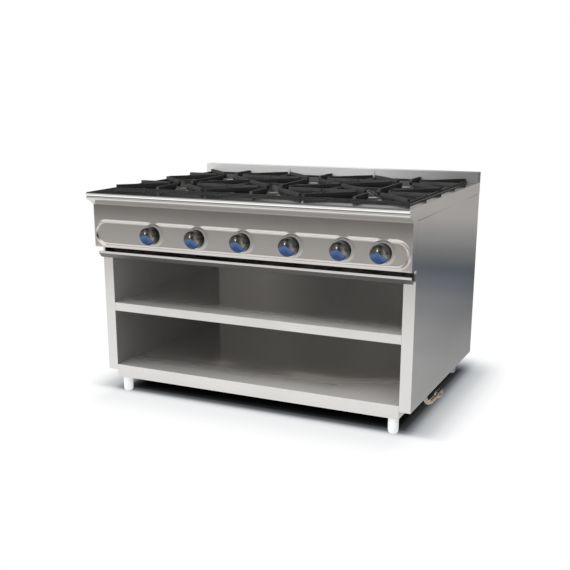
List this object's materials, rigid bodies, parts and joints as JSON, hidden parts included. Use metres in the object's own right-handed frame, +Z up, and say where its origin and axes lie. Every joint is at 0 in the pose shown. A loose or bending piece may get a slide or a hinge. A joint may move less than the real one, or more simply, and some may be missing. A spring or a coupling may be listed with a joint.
{
  "type": "commercial gas range",
  "caption": "Stainless gas range with cast pan supports over enamelled spill pans, a knob panel, a pull-out drip tray and an open cabinet with a shelf, on short legs.",
  "frame": {"origin": "centre of the footprint, knob grips included, at floor level", "axes": "+X along the front to the operator's right, +Y from the operator to the wall, +Z up"},
  "size_m": [1.2, 0.924, 0.81],
  "materials": {
    "satin_steel": "satin brushed stainless",
    "inner_steel": "brushed stainless",
    "foot_steel": "bright brushed stainless",
    "enamel": "glossy dark enamel",
    "knob": "dark bright-plated",
    "brass": "machined",
    "tube": "drawn",
    "copper": "copper-coloured, drawn",
    "burner_iron": "as cast",
    "cap_metal": "polished, heat-dulled",
    "cast_iron": "matte black"
  },
  "bodies": {
    "cabinet": {"back_panel": "inner_steel", "bottom_shelf": "inner_steel", "burner_front_centre": "burner_iron", "burner_front_left": "burner_iron", "burner_front_right": "burner_iron", "burner_rear_centre": "burner_iron", "burner_rear_left": "burner_iron", "burner_rear_right": "burner_iron", "control_panel": "satin_steel", "gas_inlet_pipe": "copper", "gas_manifold": "tube", "middle_shelf": "inner_steel", "rear_upstand": "satin_steel", "side_panel_left": "satin_steel", "side_panel_right": "satin_steel", "spill_pan_centre": "enamel", "spill_pan_left": "enamel", "spill_pan_right": "enamel", "supply_tube_1": "tube", "supply_tube_2": "tube", "supply_tube_3": "tube", "supply_tube_4": "tube", "supply_tube_5": "tube", "supply_tube_6": "tube", "tap_body_1": "brass", "tap_body_2": "brass", "tap_body_3": "brass", "tap_body_4": "brass", "tap_body_5": "brass", "tap_body_6": "brass", "worktop": "satin_steel"},
    "plug_1": {"tap_plug_1": "brass"},
    "knob_1": {"knob_1": "knob"},
    "plug_2": {"tap_plug_2": "brass"},
    "knob_2": {"knob_2": "knob"},
    "plug_3": {"tap_plug_3": "brass"},
    "knob_3": {"knob_3": "knob"},
    "plug_4": {"tap_plug_4": "brass"},
    "knob_4": {"knob_4": "knob"},
    "plug_5": {"tap_plug_5": "brass"},
    "knob_5": {"knob_5": "knob"},
    "plug_6": {"tap_plug_6": "brass"},
    "knob_6": {"knob_6": "knob"},
    "grate_front_left": {"grate_front_left": "cast_iron"},
    "cap_front_left": {"burner_cap_front_left": "cap_metal"},
    "grate_rear_left": {"grate_rear_left": "cast_iron"},
    "cap_rear_left": {"burner_cap_rear_left": "cap_metal"},
    "grate_front_centre": {"grate_front_centre": "cast_iron"},
    "cap_front_centre": {"burner_cap_front_centre": "cap_metal"},
    "grate_rear_centre": {"grate_rear_centre": "cast_iron"},
    "cap_rear_centre": {"burner_cap_rear_centre": "cap_metal"},
    "grate_front_right": {"grate_front_right": "cast_iron"},
    "cap_front_right": {"burner_cap_front_right": "cap_metal"},
    "grate_rear_right": {"grate_rear_right": "cast_iron"},
    "cap_rear_right": {"burner_cap_rear_right": "cap_metal"},
    "drip_tray": {"drip_tray": "satin_steel"},
    "foot_front_left": {"foot_front_left": "foot_steel"},
    "foot_front_right": {"foot_front_right": "foot_steel"},
    "foot_rear_left": {"foot_rear_left": "foot_steel"},
    "foot_rear_right": {"foot_rear_right": "foot_steel"}
  },
  "joints": [
    {"name": "tap_1_turn", "type": "hinge", "parent": "cabinet", "child": "plug_1", "pos_m": [-0.346, -0.378, 0.626], "axis": [0, -1, 0], "range_deg": [0, 180]},
    {"name": "knob_1_push", "type": "slide", "parent": "plug_1", "child": "knob_1", "axis": [0, 1, 0], "range_m": [0, 0.004], "stiffness_N_per_m": 400},
    {"name": "tap_2_turn", "type": "hinge", "parent": "cabinet", "child": "plug_2", "pos_m": [-0.166, -0.378, 0.626], "axis": [0, -1, 0], "range_deg": [0, 180]},
    {"name": "knob_2_push", "type": "slide", "parent": "plug_2", "child": "knob_2", "axis": [0, 1, 0], "range_m": [0, 0.004], "stiffness_N_per_m": 400},
    {"name": "tap_3_turn", "type": "hinge", "parent": "cabinet", "child": "plug_3", "pos_m": [0.01, -0.378, 0.626], "axis": [0, -1, 0], "range_deg": [0, 180]},
    {"name": "knob_3_push", "type": "slide", "parent": "plug_3", "child": "knob_3", "axis": [0, 1, 0], "range_m": [0, 0.004], "stiffness_N_per_m": 400},
    {"name": "tap_4_turn", "type": "hinge", "parent": "cabinet", "child": "plug_4", "pos_m": [0.19, -0.378, 0.626], "axis": [0, -1, 0], "range_deg": [0, 180]},
    {"name": "knob_4_push", "type": "slide", "parent": "plug_4", "child": "knob_4", "axis": [0, 1, 0], "range_m": [0, 0.004], "stiffness_N_per_m": 400},
    {"name": "tap_5_turn", "type": "hinge", "parent": "cabinet", "child": "plug_5", "pos_m": [0.37, -0.378, 0.626], "axis": [0, -1, 0], "range_deg": [0, 180]},
    {"name": "knob_5_push", "type": "slide", "parent": "plug_5", "child": "knob_5", "axis": [0, 1, 0], "range_m": [0, 0.004], "stiffness_N_per_m": 400},
    {"name": "tap_6_turn", "type": "hinge", "parent": "cabinet", "child": "plug_6", "pos_m": [0.505, -0.378, 0.626], "axis": [0, -1, 0], "range_deg": [0, 180]},
    {"name": "knob_6_push", "type": "slide", "parent": "plug_6", "child": "knob_6", "axis": [0, 1, 0], "range_m": [0, 0.004], "stiffness_N_per_m": 400},
    {"name": "grate_front_left_lift", "type": "slide", "parent": "cabinet", "child": "grate_front_left", "axis": [0, 0, 1], "range_m": [0, 0.2]},
    {"name": "cap_front_left_lift", "type": "slide", "parent": "cabinet", "child": "cap_front_left", "axis": [0, 0, 1], "range_m": [0, 0.06]},
    {"name": "grate_rear_left_lift", "type": "slide", "parent": "cabinet", "child": "grate_rear_left", "axis": [0, 0, 1], "range_m": [0, 0.2]},
    {"name": "cap_rear_left_lift", "type": "slide", "parent": "cabinet", "child": "cap_rear_left", "axis": [0, 0, 1], "range_m": [0, 0.06]},
    {"name": "grate_front_centre_lift", "type": "slide", "parent": "cabinet", "child": "grate_front_centre", "axis": [0, 0, 1], "range_m": [0, 0.2]},
    {"name": "cap_front_centre_lift", "type": "slide", "parent": "cabinet", "child": "cap_front_centre", "axis": [0, 0, 1], "range_m": [0, 0.06]},
    {"name": "grate_rear_centre_lift", "type": "slide", "parent": "cabinet", "child": "grate_rear_centre", "axis": [0, 0, 1], "range_m": [0, 0.2]},
    {"name": "cap_rear_centre_lift", "type": "slide", "parent": "cabinet", "child": "cap_rear_centre", "axis": [0, 0, 1], "range_m": [0, 0.06]},
    {"name": "grate_front_right_lift", "type": "slide", "parent": "cabinet", "child": "grate_front_right", "axis": [0, 0, 1], "range_m": [0, 0.2]},
    {"name": "cap_front_right_lift", "type": "slide", "parent": "cabinet", "child": "cap_front_right", "axis": [0, 0, 1], "range_m": [0, 0.06]},
    {"name": "grate_rear_right_lift", "type": "slide", "parent": "cabinet", "child": "grate_rear_right", "axis": [0, 0, 1], "range_m": [0, 0.2]},
    {"name": "cap_rear_right_lift", "type": "slide", "parent": "cabinet", "child": "cap_rear_right", "axis": [0, 0, 1], "range_m": [0, 0.06]},
    {"name": "drip_tray_slide", "type": "slide", "parent": "cabinet", "child": "drip_tray", "axis": [0, -1, 0], "range_m": [0, 0.6]},
    {"name": "foot_front_left_level", "type": "slide", "parent": "cabinet", "child": "foot_front_left", "axis": [0, 0, -1], "range_m": [0, 0.025]},
    {"name": "foot_front_right_level", "type": "slide", "parent": "cabinet", "child": "foot_front_right", "axis": [0, 0, -1], "range_m": [0, 0.025]},
    {"name": "foot_rear_left_level", "type": "slide", "parent": "cabinet", "child": "foot_rear_left", "axis": [0, 0, -1], "range_m": [0, 0.025]},
    {"name": "foot_rear_right_level", "type": "slide", "parent": "cabinet", "child": "foot_rear_right", "axis": [0, 0, -1], "range_m": [0, 0.025]}
  ]
}
